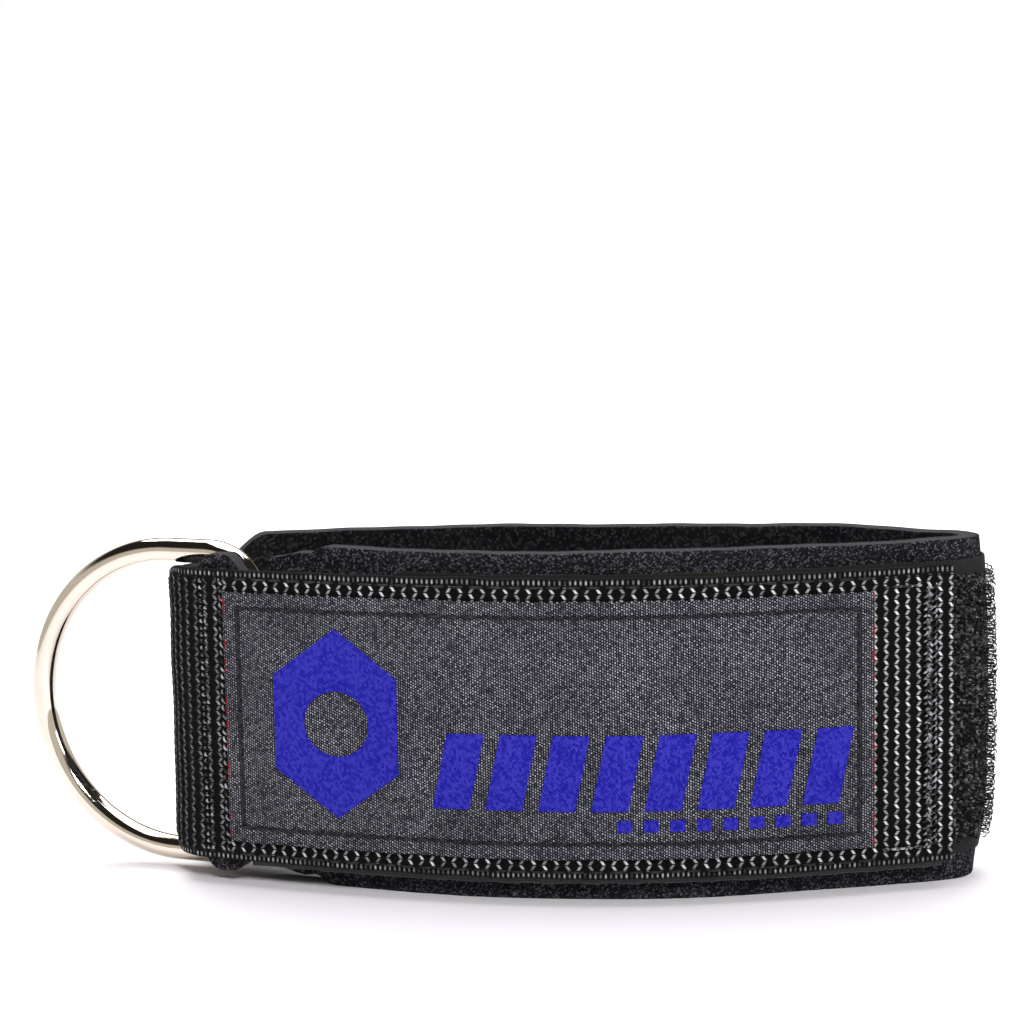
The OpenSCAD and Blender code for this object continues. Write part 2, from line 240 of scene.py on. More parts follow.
def new_object(name, vertices, faces, uvs, material):
    """Makes a smooth mesh from vertices in millimetres, with a UV map in millimetres."""
    mesh = bpy.data.meshes.new(name)
    mesh.from_pydata((np.asarray(vertices) * MM).tolist(), [], faces)
    mesh.polygons.foreach_set("use_smooth", [True] * len(mesh.polygons))
    loops = np.zeros(len(mesh.loops), int)
    mesh.loops.foreach_get("vertex_index", loops)
    layer = mesh.uv_layers.new(name="weave")
    layer.data.foreach_set("uv", np.asarray(uvs, float)[loops].ravel())
    mesh.materials.append(material)
    mesh.set_sharp_from_angle(angle=math.radians(62))
    mesh.update()
    obj = bpy.data.objects.new(name, mesh)
    bpy.context.scene.collection.objects.link(obj)
    return obj


def loop_faces(n, m, first=0):
    """Quads of a tube of n stations with m points round each, and its two end caps."""
    i = np.arange(n - 1)[:, None] * m
    j = np.arange(m)[None, :]
    k = (j + 1) % m
    quads = np.stack([i + j, i + k, i + m + k, i + m + j], axis=-1).reshape(-1, 4) + first
    caps = []
    for row, flip in ((0, True), (n - 1, False)):
        for a in range(m // 2 - 1):
            cap = [row * m + a, row * m + a + 1, row * m + m - 2 - a, row * m + m - 1 - a]
            caps.append([first + v for v in (cap if flip else cap[::-1])])
    return quads.tolist() + caps


def band_profile(thick, height, corner, rows=0, side=()):
    """Cross-section of a flat band, its middle at 0: offsets and heights round a loop."""
    turn = np.linspace(0, math.pi / 2, 4)
    flat_edge = np.linspace(0.12, 1, 3)[:-1] * (thick / 2 - corner)
    low_o = np.concatenate([flat_edge, thick / 2 - corner + corner * np.sin(turn)])
    low_z = np.concatenate([flat_edge * 0 - height / 2, -height / 2 + corner - corner * np.cos(turn)])
    mid_z = np.linspace(-height / 2 + corner, height / 2 - corner, rows + 2)[1:-1]
    if len(side):
        mid_z = np.asarray(side)
    off = np.concatenate([low_o, mid_z * 0 + thick / 2, low_o[::-1]])
    z = np.concatenate([low_z, mid_z, -low_z[::-1]])
    return np.concatenate([off, -off[::-1]]), np.concatenate([z, z[::-1]])


def band_mesh(name, points, normals, off_grid, z_grid, uvs, material):
    """Mesh of a band from its plan: points, outward directions, offsets from them and heights."""
    plan_points = points[:, None, :] + off_grid[..., None] * normals[:, None, :]
    vertices = np.concatenate([plan_points, z_grid[..., None]], axis=-1).reshape(-1, 3)
    return new_object(name, vertices, loop_faces(*off_grid.shape), uvs.reshape(-1, 2), material)


def swept_band(name, route, runs, mid_off, profile, material, shape):
    """A band swept along a route. shape gives the final offsets and heights, by run and height."""
    points, normals = route.sample(runs)
    off, z = profile
    runs_grid, z_grid = np.meshgrid(runs, z, indexing="ij")
    off_grid = np.tile(off + mid_off, (len(runs), 1))
    uvs = np.stack([runs_grid, z_grid], axis=-1)
    off_grid, z_grid = shape(runs_grid, off_grid, z_grid, np.sign(off)[None, :])
    return band_mesh(name, points, normals, off_grid, z_grid, uvs, material)


def steps(first, last, step):
    """Evenly spaced distances from first to last, about a step apart."""
    return np.linspace(first, last, max(2, int(round((last - first) / step)) + 1))


def centred(first, last, step):
    """Distances exactly a step apart, centred between first and last."""
    count = int((last - first) // step)
    rest = (last - first - count * step) / 2
    return first + rest + np.arange(count + 1) * step


STITCH_SIDES = 6
STITCH_SINK = 0.35           # how deep a stitch's ends sink, as a share of the thread


def bars(name, places, material, thick):
    """Short bowed stitches. A place is (middle, direction, outward direction, length)."""
    share = np.linspace(-1, 1, 7)
    lift = 1 - share**2 - STITCH_SINK
    ring = np.linspace(0, 2 * math.pi, STITCH_SIDES, endpoint=False)
    width = np.sqrt(np.clip(1 - share**6, 0.25, 1))
    vertices, faces, uvs = [], [], []
    for middle, along, out, length in places:
        side = np.cross(along, out)
        base = np.asarray(middle) + np.outer(share * length / 2, along) + np.outer(lift * thick, out)
        for i in range(len(share)):
            for angle in ring:
                reach = thick / 2 * width[i]
                vertices.append(base[i] + reach * (math.cos(angle) * side + math.sin(angle) * out))
                uvs.append((share[i] * length / 2, angle))
        faces += loop_faces(len(share), STITCH_SIDES, len(vertices) - len(share) * STITCH_SIDES)
    return new_object(name, vertices, faces, uvs, material)


def on_route(route, run, off, z):
    """A point on a route at an offset and height, with its direction along and outward."""
    points, normals = route.sample([run])
    out = np.append(normals[0], 0.0)
    along = np.array([-out[1], out[0], 0.0])
    return np.append(points[0] + off * normals[0], z), along, out


UP = np.array([0.0, 0.0, 1.0])


def seam(route, runs, heights, off, length, upright=False, slant=0.0):
    """Places of the stitches of one seam, at every pair of run and height."""
    places = []
    for run in runs:
        for z in heights:
            point, along, out = on_route(route, run, off, z)
            line = UP + slant * along if upright else along + slant * UP
            places.append((point, line / np.linalg.norm(line), out, length))
    return places


# ---- Materials ----
def connect(tree, socket, value):
    """Links an output to a socket, or sets the socket to a plain value."""
    if isinstance(value, Signal):
        value = value.socket
    if isinstance(value, bpy.types.NodeSocket):
        tree.links.new(value, socket)
    else:
        socket.default_value = value


def compute(tree, operation, *values):
    """One math node, fed with numbers and signals."""
    made = tree.nodes.new("ShaderNodeMath")
    made.operation = operation
    for socket, value in zip(made.inputs, values):
        connect(tree, socket, value)
    return Signal(tree, made.outputs[0])


class Signal:
    """A number that shader nodes work out at each point, written like a plain number."""

    def __init__(self, tree, socket):
        self.tree = tree
        self.socket = socket

    def apply(self, operation, *values):
        return compute(self.tree, operation, self, *values)

    def __add__(self, other):
        return self.apply("ADD", other)

    def __sub__(self, other):
        return self.apply("SUBTRACT", other)

    def __rsub__(self, other):
        return compute(self.tree, "SUBTRACT", other, self)

    def __mul__(self, other):
        return self.apply("MULTIPLY", other)

    def __truediv__(self, other):
        return self.apply("DIVIDE", other)

    def __pow__(self, other):
        return self.apply("POWER", other)

    def __abs__(self):
        return self.apply("ABSOLUTE")

    def __floor__(self):
        return self.apply("FLOOR")

    def wave(self, pitch):
        """Sine wave with that pitch."""
        return (self * (2 * math.pi / pitch)).apply("SINE")

    def ramp(self, low, high):
        """0 below low, 1 above high, smooth between."""
        made = self.tree.nodes.new("ShaderNodeMapRange")
        made.interpolation_type = "SMOOTHSTEP"
        connect(self.tree, made.inputs["Value"], self)
        made.inputs["From Min"].default_value = low
        made.inputs["From Max"].default_value = high
        return Signal(self.tree, made.outputs[0])

    def between(self, first, second):
        """Runs from the first number to the second as this one runs from 0 to 1."""
        return self.apply("MULTIPLY_ADD", second - first, first)


class Paint:
    """A principled material whose nodes are built from short calls."""

    def __init__(self, name, colour, rough, metal=0.0, specular=0.5, sheen=0.0):
        self.material = bpy.data.materials.new(name)
        self.material.use_nodes = True
        self.tree = self.material.node_tree
        self.shader = self.tree.nodes["Principled BSDF"]
        values = {"Base Color": (*colour, 1), "Roughness": rough, "Metallic": metal,
                  "Specular IOR Level": specular, "Sheen Weight": sheen, "Sheen Roughness": 0.6}
        for key, value in values.items():
            self.shader.inputs[key].default_value = value

    def node(self, kind, **inputs):
        made = self.tree.nodes.new("ShaderNode" + kind)
        for key, value in inputs.items():
            connect(self.tree, made.inputs[key], value)
        return made

    def weave(self):
        """The place on a band, and the distance along and the height across it, in millimetres."""
        uv = self.tree.nodes.new("ShaderNodeUVMap")
        uv.uv_map = "weave"
        parts = self.node("SeparateXYZ", Vector=uv.outputs[0])
        return uv.outputs[0], Signal(self.tree, parts.outputs[0]), Signal(self.tree, parts.outputs[1])

    def place(self):
        """The place in the object's frame, in millimetres."""
        at = self.tree.nodes.new("ShaderNodeTexCoord")
        return self.scaled(at.outputs["Object"], (1 / MM, 1 / MM, 1 / MM))

    def scaled(self, vector, factors):
        made = self.tree.nodes.new("ShaderNodeVectorMath")
        made.operation = "MULTIPLY"
        connect(self.tree, made.inputs[0], vector)
        made.inputs[1].default_value = factors
        return made.outputs[0]

    def noise(self, vector, scale, detail=2.0, rough=0.5):
        made = self.node("TexNoise", Vector=vector, Scale=scale, Detail=detail, Roughness=rough)
        return Signal(self.tree, made.outputs[0])

    def cell(self, a, b, size_a, size_b, shift):
        """Place in a grid of little cells; each column of cells is shifted along."""
        in_a = a / size_a
        return in_a, b / size_b + math.floor(in_a) * shift

    def grain(self, a, b, size_a, size_b, shift=0.0):
        """A random number for each little cell."""
        in_a, in_b = self.cell(a, b, size_a, size_b, shift)
        cell = self.node("CombineXYZ", X=math.floor(in_a), Y=math.floor(in_b))
        return Signal(self.tree, self.node("TexWhiteNoise", Vector=cell.outputs[0]).outputs["Value"])

    def dots(self, a, b, size_a, size_b, shift):
        """A round spot in the middle of each little cell."""
        in_a, in_b = self.cell(a, b, size_a, size_b, shift)
        return (abs(in_a.wave(2)) * abs(in_b.wave(2))).ramp(0.35, 0.9)

    def mix(self, share, first, second):
        """Colour between two colours, each a colour or a socket."""
        made = self.tree.nodes.new("ShaderNodeMix")
        made.data_type = "RGBA"
        connect(self.tree, made.inputs["Factor"], share)
        for key, value in (("A", first), ("B", second)):
            socket = [s for s in made.inputs if s.name == key and s.type == "RGBA"][0]
            connect(self.tree, socket, value if isinstance(value, bpy.types.NodeSocket) else (*value, 1))
        return [s for s in made.outputs if s.type == "RGBA"][0]

    def colour(self, share, first, second):
        connect(self.tree, self.shader.inputs["Base Color"], self.mix(share, first, second))

    def rough(self, signal):
        connect(self.tree, self.shader.inputs["Roughness"], signal)

    def bump(self, height, depth, strength):
        """Bump of that depth in millimetres. Calls stack up."""
        made = self.node("Bump", Height=height, Strength=strength, Distance=depth * MM)
        before = self.shader.inputs["Normal"]
        if before.is_linked:
            connect(self.tree, made.inputs["Normal"], before.links[0].from_socket)
        connect(self.tree, before, made.outputs[0])


def jersey_material():
    """Black stretch jersey: fine knitted columns, each stitch catching its own light."""
    paint = Paint("jersey", (0.012, 0.012, 0.014), 0.75, specular=0.03)
    uv, along, across = paint.weave()
    fleck = paint.grain(along, across, 0.27, 0.25, 0.5) ** 5.0
    base = paint.mix(paint.noise(uv, 0.12), (0.005, 0.005, 0.006), (0.011, 0.011, 0.013))
    paint.colour(fleck, base, (0.12, 0.115, 0.13))
    paint.bump(along.wave(0.55) * across.wave(0.42), 0.08, 0.7)
    paint.bump(paint.noise(uv, 1.1), 0.18, 0.5)
    return paint.material


def lining_material():
    """Matt black brushed plush."""
    paint = Paint("lining", (0.008, 0.008, 0.009), 0.95, specular=0.02)
    uv, along, across = paint.weave()
    nap = paint.noise(paint.scaled(uv, (0.08, 0.2, 1.0)), 1.0)
    fleck = paint.grain(along, across, 0.4, 0.4, 0.3) ** 4.0
    base = paint.mix(nap, (0.003, 0.003, 0.004), (0.011, 0.011, 0.012))
    paint.colour(fleck, base, (0.035, 0.034, 0.037))
    paint.bump(paint.noise(uv, 2.2, 3.0, 0.7), 0.35, 0.8)
    return paint.material


def foam_material():
    """Cut edge of closed-cell foam: dark grey with open pores."""
    paint = Paint("foam", (0.04, 0.04, 0.045), 0.9, specular=0.06)
    place = paint.place()
    cells = paint.node("TexVoronoi", Vector=place, Scale=2.4).outputs["Distance"]
    fuzz = paint.noise(place, 1.4, 3.0, 0.65)
    paint.colour(fuzz, (0.012, 0.012, 0.013), (0.075, 0.075, 0.08))
    paint.bump(cells, 0.25, 0.7)
    paint.bump(fuzz, 0.3, 0.6)
    return paint.material


def rib_glints(paint, along, across):
    """Painted highlight on the zigzag ribs: each float has its own share, and round the fold the highlight
    is dimmed as painted shade.
    """
    rib_at = along / RIB_PITCH
    shifted = across / ZIGZAG_PITCH + math.floor(rib_at) * 0.5
    turn = (shifted + 1000.5).apply("PINGPONG", 0.5)
    crest = abs((rib_at - turn.apply("MULTIPLY_ADD", 4 * RIB_SWAY, -RIB_SWAY)).wave(2))
    float_at = shifted.wave(1)
    body = abs(float_at).ramp(0.1, 0.75)
    lean = float_at.ramp(-0.3, 0.3).between(0.55, 1.0)
    fold_mid = (STRAP_FOLD + STRAP_TAIL) / 2
    # painted shade: the glints are dimmed round the fold, where the strap turns away from the lamps
    closed = abs(along - fold_mid).ramp(FOLD.length() / 2 + 3, 21.0).between(0.28, 1.0)
    own = paint.grain(rib_at, shifted, 1.0, 0.5).between(0.3, 1.0) * closed
    return crest.ramp(0.86, 1.0) * (body * lean) * own


def webbing_material():
    """Black nylon yarn: the floats of the zigzag ribs and the edge's picks glint."""
    paint = Paint("webbing", (0.010, 0.010, 0.010), 0.5, specular=0.05)
    _, along, across = paint.weave()
    from_edge = WEB_H / 2 - abs(across)
    inside = abs(across).ramp(WEB_H / 2 - 1.3, WEB_H / 2 - 1.6)
    picks = along.wave(0.85).ramp(0.1, 0.8) * from_edge.ramp(0.1, 1.25).wave(2)
    pick_own = paint.grain(along, across, 0.85, 3.0).between(0.03, 0.6)
    edge = (1.0 - inside) * (picks * pick_own)
    bright = rib_glints(paint, along, across) * inside + edge
    paint.colour(bright, (0.0045, 0.0045, 0.0048), (0.85, 0.85, 0.87))
    paint.rough(bright.between(0.6, 0.35))
    paint.bump(picks, 0.2, 0.6)
    paint.bump((along + across).wave(0.3), 0.05, 0.8)
    return paint.material


def tape_material():
    """Black woven base of the hook tape: fine cross ribs, and the roots of the hooks glint."""
    paint = Paint("hook_base", (0.01, 0.01, 0.01), 0.7, specular=0.06)
    _, along, across = paint.weave()
    field = abs(across).ramp(WEB_H / 2 - HOOK_MARGIN, WEB_H / 2 - HOOK_MARGIN - 0.3)
    roots = paint.grain(along, across, 0.45, 0.38, 0.5) ** 5.0 * field * 0.36
    plain = paint.mix(field, (0.020, 0.020, 0.019), (0.005, 0.005, 0.005))
    paint.colour(roots, plain, (0.55, 0.55, 0.56))
    paint.bump(along.wave(0.6) * across.wave(0.5), 0.08, 0.8)
    return paint.material


def hook_material():
    """Black nylon monofilament; some hooks glint."""
    paint = Paint("hook_filament", (0.012, 0.012, 0.012), 0.35, specular=0.12)
    _, along, across = paint.weave()
    fleck = paint.grain(along, across, 0.9, 1.3) ** 4.0
    paint.colour(fleck, (0.004, 0.004, 0.004), (0.07, 0.07, 0.074))
    return paint.material


def loop_material():
    """Brushed nylon loop pile, matt dark grey."""
    paint = Paint("loop_pile", (0.02, 0.02, 0.02), 0.85, specular=0.25, sheen=0.2)
    pile = paint.noise(paint.weave()[0], 1.6, 3.0, 0.7)
    paint.colour(pile, (0.008, 0.008, 0.009), (0.04, 0.04, 0.042))
    paint.bump(pile, 0.4, 0.9)
    return paint.material


def label_material():
    """Charcoal satin: fine warp columns whose short floats each catch their own light."""
    paint = Paint("label", (0.03, 0.032, 0.042), 0.55, specular=0.05)
    uv, along, across = paint.weave()
    float_row = (along * 1.3 + across).wave(1.05)
    own = paint.grain(along, across, *LABEL_CELL).between(0.10, 0.70)
    spot = paint.dots(along, across, *LABEL_CELL)
    cloud = paint.noise(uv, 0.07, 3.0).ramp(0.3, 0.7).between(0.7, 1.05)
    diagonal = float_row.ramp(-0.8, 0.9).between(0.6, 1.1)
    from_mid = abs(along - (LABEL_AT + LABEL_LEN / 2))
    from_edge = (LABEL_LEN / 2 - from_mid).apply("MINIMUM", LABEL_H / 2 - abs(across))
    # painted shade: the floats' light is dimmed in the stitch groove round the hem
    groove = abs(from_edge - LABEL_HEM).ramp(0.1, 0.55).between(0.12, 1.0)
    share = own * spot * (cloud * diagonal) * groove
    satin = paint.mix(share, (0.005, 0.006, 0.010), (0.78, 0.79, 0.85))
    rim = from_mid.ramp(LABEL_LEN / 2 - 0.5, LABEL_LEN / 2 - 0.2)
    red_bits = paint.grain(along, across, 2.0, 0.7).ramp(0.7, 0.75)
    paint.colour(rim * red_bits, satin, (0.20, 0.01, 0.012))
    paint.bump(along.wave(LABEL_CELL[0]) * float_row, 0.06, 0.8)
    return paint.material


def mark_material():
    """Royal blue weft in a fine slanting twill."""
    paint = Paint("mark", (0.02, 0.012, 0.5), 0.6, specular=0.03)
    _, along, across = paint.weave()
    twill = (along + across * 0.8).wave(0.5)
    # twill plus a random brightness for each float: the weave's own tone, with the paler, greyer end of the
    # blue as painted glint
    twill_and_painted_glint = twill * 0.25 + paint.grain(along, across, *LABEL_CELL)
    paint.colour(twill_and_painted_glint.ramp(0.0, 1.0), (0.010, 0.009, 0.27), (0.042, 0.038, 0.40))
    paint.bump(twill, 0.06, 0.8)
    return paint.material


def thread_material(name, light):
    """Black bonded thread with a visible twist, and some light on it."""
    paint = Paint(name, (0.008, 0.008, 0.009), 0.45, specular=0.3)
    _, along, around = paint.weave()
    fleck = paint.noise(paint.place(), 0.9, 1.0).ramp(0.42, 0.72)
    paint.colour(fleck, (0.004, 0.004, 0.004), light)
    paint.bump((along * 9.0 + around).apply("SINE"), 0.06, 0.8)
    return paint.material


def metal_material():
    """Bright nickel plate over drawn steel wire, with faint wear."""
    paint = Paint("nickel", (0.70, 0.63, 0.54), 0.09, metal=1.0)
    place = paint.place()
    scratch = paint.noise(paint.scaled(place, (0.5, 0.5, 3.0)), 0.9).ramp(0.62, 0.75)
    paint.colour(paint.noise(place, 0.12, 3.0), (0.64, 0.575, 0.49), (0.76, 0.69, 0.60))
    paint.rough(scratch.between(0.07, 0.2))
    paint.bump(paint.noise(place, 0.35), 0.03, 0.35)
    return paint.material


def floor_material():
    """Plain pale board with a barely visible grain."""
    paint = Paint("floor", (0.92, 0.89, 0.92), 0.7, specular=0.1)
    grain = paint.noise(paint.place(), 0.05, 4.0)
    paint.colour(grain, (0.90, 0.868, 0.90), (0.94, 0.91, 0.94))
    return paint.material


LABEL_CELL = (0.40, 0.46, 0.37)  # a float's width and height, and each column's shift in floats
RIB_PITCH = 1.9
ZIGZAG_PITCH = 1.8
RIB_SWAY = 0.16              # how far a rib's crest sways, as a share of the pitch
JERSEY = jersey_material()
LINING = lining_material()
FOAM = foam_material()
WEBBING = webbing_material()
HOOK_BASE = tape_material()
HOOKS = hook_material()
LOOPS = loop_material()
LABEL = label_material()
MARK = mark_material()
STITCH = thread_material("thread", (0.02, 0.02, 0.021))
TACK_THREAD = thread_material("tack_thread", (0.42, 0.42, 0.45))
NICKEL = metal_material()


# ---- Padded band: foam, jersey and lining share one soft shape ----
TAB_LOBE = 8.0               # the tab swells out past the ring into a soft lobe
TAB_LOBE_AT = 2.5
TAB_LOBE_WIDE = 4.1
START_DROP = 4.5             # how much lower the band's rounded start is
START_ROUND = 12.0
BULGE_OUT = 1.5              # the laminate's bulge at the end bend
BULGE_WIDE = 8.5
PUCKER_AT = 7.6              # where the keeper's stitches gather the band


def pad_squeeze(runs):
    """How much the ring narrows the pad, from 0 to 1."""
    return smooth(runs, PAD_FOLD - 8, PAD_FOLD)


def band_height(runs):
    """Height of the pad: squeezed by the ring, rounded at its start, and a soft lobe at the tab."""
    start = 1 - smooth(runs, LEAD_IN - 1, LEAD_IN + START_ROUND)
    lobe = np.exp(-((runs - PAD_TAB - TAB_LOBE_AT) / TAB_LOBE_WIDE) ** 4)
    return BAND_H - (BAND_H - PINCH_H) * pad_squeeze(runs) - START_DROP * start + TAB_LOBE * lobe


def bend_flare(runs, z):
    """How far the stiff laminate bulges at the end bend; its lower edge curls in."""
    apex = (PAD_BEND + PAD_BACK) / 2
    share = z / (BAND_H / 2)
    reach = BULGE_OUT - 1.1 * share**2 - smooth(-share, 0.6, 1.0)
    return np.exp(-((runs - apex) / BULGE_WIDE) ** 2) * reach


def pad_shape(runs, offs, z, face):
    """The pad's softness: free edges wave, the ring and the keeper's stitches gather it."""
    share = z / (BAND_H / 2)
    edge = smooth(np.abs(share), 0.80, 1.0)
    ripple = waves(runs, z * 0.4, 26, seed=3) * 0.5 + waves(runs, z, 11, seed=4) * 0.15
    ring_near = np.exp(-((runs - PAD_FOLD + 4) / 5) ** 2)
    pinch = np.exp(-((runs - LEAD_IN - PUCKER_AT) / 1.6) ** 2)
    lean = edge * (ripple * 0.6 - 0.5 * pinch + 0.9 * ring_near)
    top = share * band_height(runs) / 2
    rim = waves(runs, z * 0, 34, seed=5) * 0.28 + waves(runs, z * 0, 7, seed=6) * 0.10
    top = top + edge * (rim * (z > 0) - 0.8 * pinch * np.sign(z))
    offs = offs + lean + bend_flare(runs, z)
    return offs, BAND_H / 2 + top + (WEB_MID - BAND_H / 2) * pad_squeeze(runs)


SPLIT = PAD_FOLD - 2.5       # the run and the fold of the pad meet here, out of sight


def pad_layers():
    """Foam, jersey and lining, each as the long run and the piece that bends at the fold."""
    layers = (
        ("foam", FOAM_T, -JERSEY_T - FOAM_T / 2, 0.35, FOAM),
        ("jersey", JERSEY_T, -JERSEY_T / 2, 0.16, JERSEY),
        ("lining", LINING_T, -PAD_T + LINING_T / 2, 0.25, LINING),
    )
    made = {}
    for name, thick, mid, corner, material in layers:
        profile = band_profile(thick, BAND_H, corner, rows=46)
        run = swept_band(name + "_band", PAD, steps(LEAD_IN, SPLIT, 0.9), mid, profile, material, pad_shape)
        fold_runs = steps(SPLIT, PAD_TAB + TAB_LEN, 0.5)
        fold = swept_band(name + "_fold", PAD, fold_runs, mid, profile, material, pad_shape)
        made[name] = (run, fold)
    return made


# ---- Webbing: ribs across the strap, each crest swaying to and fro ----
def web_squeeze(runs):
    """How much the ring narrows the strap, from 0 to 1."""
    return smooth(runs, STRAP_FOLD - 8, STRAP_FOLD) * (1 - smooth(runs, STRAP_CROSS + 3, STRAP_CROSS + 9))


def web_shape(runs, offs, z, face):
    """Ribs on both faces, a flat woven edge, and the squeeze through the ring."""
    rib = np.floor(runs / RIB_PITCH)
    sway = np.abs(((z / ZIGZAG_PITCH + rib * 0.5) % 1.0) - 0.5) * 2 - 0.5
    phase = runs / RIB_PITCH - sway * 2 * RIB_SWAY
    crest = np.sqrt(np.abs(np.sin(np.pi * phase)))
    inner = 1 - smooth(np.abs(z), WEB_H / 2 - 1.7, WEB_H / 2 - 1.2)
    knots = 0.5 + 0.5 * np.cos(4 * np.pi * z / ZIGZAG_PITCH)
    relief = (0.52 * crest + 0.10 * knots - 0.46) * inner - 0.12 * (1 - inner)
    soft = 0.18 * waves(runs, z, 22, seed=11)
    height = z * (1 - (WEB_H - PINCH_H) / WEB_H * web_squeeze(runs))
    rim = 0.10 * waves(runs, z * 0, 9, seed=12) * smooth(np.abs(z), 22, 25)
    return offs + face * relief + soft * smooth(runs, STRAP_FOLD - 20, STRAP_TAIL), WEB_MID + height + rim


def webbing_strap():
    """One strap, from its sewn start on the back, round the fold, to the tail's cut end."""
    start = HOOK_LAP + WEB_GAP
    runs = steps(start * (BACK.radius + WEB_T) / BACK.radius, STRAP.length, 0.31)
    edge_rows = np.arange(0.42, 3.4, 0.42)
    middle = np.arange(-WEB_H / 2 + 3.6, WEB_H / 2 - 3.5, 0.6)
    rows = np.concatenate([-WEB_H / 2 + edge_rows, middle, WEB_H / 2 - edge_rows[::-1]])
    profile = band_profile(WEB_T - 0.35, WEB_H, 0.4, side=rows)
    return swept_band("webbing", STRAP, runs, -WEB_T / 2, profile, WEBBING, web_shape)


# ---- Hook and loop ----
HOOK_STEP = 0.80
HOOK_RISE = 1.30
HOOK_STEM = 0.95
HOOK_CURL = 0.42
HOOK_WIRE = 0.30


def hook_tape():
    """Woven base on the band's outside, round the sharp bend."""
    profile = band_profile(HOOK_BASE_T, WEB_H, 0.15, rows=30)

    def shape(runs, offs, z, face):
        offs = offs + 0.03 * waves(runs, z, 6, seed=21) + bend_flare(runs, z)
        return offs, WEB_MID + z + 0.12 * waves(runs, z * 0, 12, seed=22)

    runs = steps(HOOK_FROM, PAD_BACK + HOOK_LAP, 0.7)
    return swept_band("hook_tape_base", PAD, runs, HOOK_BASE_T / 2, profile, HOOK_BASE, shape)


def hook_field(name, first_run, last_run, seed):
    """Rows of little hooks, curled over to one side or the other."""
    rng = random.Random(seed)
    curl = np.radians(np.linspace(180, -60, 6))
    tip = np.stack([HOOK_CURL + HOOK_CURL * np.cos(curl), HOOK_STEM + HOOK_CURL * np.sin(curl)], 1)
    path = np.concatenate([[(0, -0.1)], tip])
    runs = centred(first_run, last_run, HOOK_STEP)
    heights = centred(WEB_Z + HOOK_MARGIN + 0.3, WEB_Z + WEB_H - HOOK_MARGIN - 0.3, HOOK_RISE)
    corners = [(math.cos(a), math.sin(a)) for a in (0, 2 * math.pi / 3, 4 * math.pi / 3)]
    vertices, faces, uvs = [], [], []
    for i, run in enumerate(runs):
        for j, height in enumerate(heights):
            at = run + rng.uniform(-0.2, 0.2)
            z = height + HOOK_RISE / 4 * (1 if i % 2 else -1) + rng.uniform(-0.15, 0.15)
            base = HOOK_BASE_T + bend_flare(at, z - WEB_MID)
            point, along, out = on_route(PAD, at, base, z)
            turn = math.pi / 2 + rng.uniform(-0.7, 0.7) + (0 if (i + j) % 2 else math.pi)
            lean = math.cos(turn) * along + math.sin(turn) * UP
            side = np.cross(lean, out)
            size = rng.uniform(0.9, 1.12)
            first = len(vertices)
            for a, h in path * size:
                for c, s in corners:
                    skin = HOOK_WIRE / 2 * (c * side + s * (lean + out) * 0.7)
                    vertices.append(point + (a - HOOK_CURL) * lean + h * out + skin)
                    uvs.append((run, z))
            faces += loop_faces(len(path), 3, first)
            last = first + 3 * (len(path) - 1)
            faces += [[first, first + 2, first + 1], [last, last + 1, last + 2]]
    return new_object(name, vertices, faces, uvs, HOOKS)


def loop_tape():
    """Loop pile on the back of the tail."""
    profile = band_profile(LOOP_T, WEB_H, 0.3, rows=44)

    def shape(runs, offs, z, face):
        pile = 0.10 * waves(runs, z, 2.2, seed=41, count=7) * (face < 0)
        return offs - pile, WEB_MID - LOOP_DROP + z + 0.1 * waves(runs, z * 0, 8, seed=42)

    runs = steps(STRAP_TAIL + TAB_LEN + AIR, STRAP.length - 1, 0.6)
    return swept_band("loop_pile", STRAP, runs, -WEB_T - LOOP_T / 2, profile, LOOPS, shape)


# ---- Ring and keeper ----
def ring_path():
    """Centreline of the D-ring in its own plane: distance from the bar, and height."""
    bow = RING_H / 2 - WIRE_D / 2
    bar_half = bow - CORNER_R
    bow_at = RING_W - RING_H / 2 - WIRE_D / 2
    corner = np.radians(np.linspace(180, 90, 13))
    half_turn = np.radians(np.linspace(90, -90, 61))
    upper = np.stack([CORNER_R + CORNER_R * np.cos(corner), bar_half + CORNER_R * np.sin(corner)], 1)
    straight = np.stack([np.linspace(CORNER_R, bow_at, 6)[1:-1], np.full(4, bow)], 1)
    arc = np.stack([bow_at + bow * np.cos(half_turn), bow * np.sin(half_turn)], 1)
    top = np.concatenate([upper, straight])
    bar = np.stack([np.zeros(9), np.linspace(-bar_half, bar_half, 11)[1:-1]], 1)
    return np.concatenate([top, arc, top[::-1] * [1, -1], bar])


def d_ring():
    """Bright wire ring with a low weld bead in the middle of its bar."""
    path = ring_path()
    ahead = np.roll(path, -1, axis=0) - np.roll(path, 1, axis=0)
    ahead /= np.linalg.norm(ahead, axis=1)[:, None]
    side = np.stack([ahead[:, 1], -ahead[:, 0]], 1)
    angle = math.radians(RING_HEADING)
    away = np.array([-math.cos(angle), -math.sin(angle), 0.0])
    across = np.cross(away, UP)
    around = np.linspace(0, 2 * math.pi, 28, endpoint=False)
    vertices, uvs = [], []
    for (x, z), (sx, sz) in zip(path, side):
        centre = np.array([BAR[0], BAR[1], WEB_MID]) + x * away + z * UP
        outer = sx * away + sz * UP
        weld = 0.0 if x > 0 else 0.10 * math.exp(-((z / 1.6) ** 2))
        for a in around:
            vertices.append(centre + (WIRE_D / 2 + weld) * (math.cos(a) * outer + math.sin(a) * across))
            uvs.append((x, z))
    n, m = len(path), len(around)
    faces = []
    for i in range(n):
        here, after = i * m, (i + 1) % n * m
        faces += [[here + j, here + (j + 1) % m, after + (j + 1) % m, after + j] for j in range(m)]
    return new_object("ring_wire", vertices, faces, uvs, NICKEL)


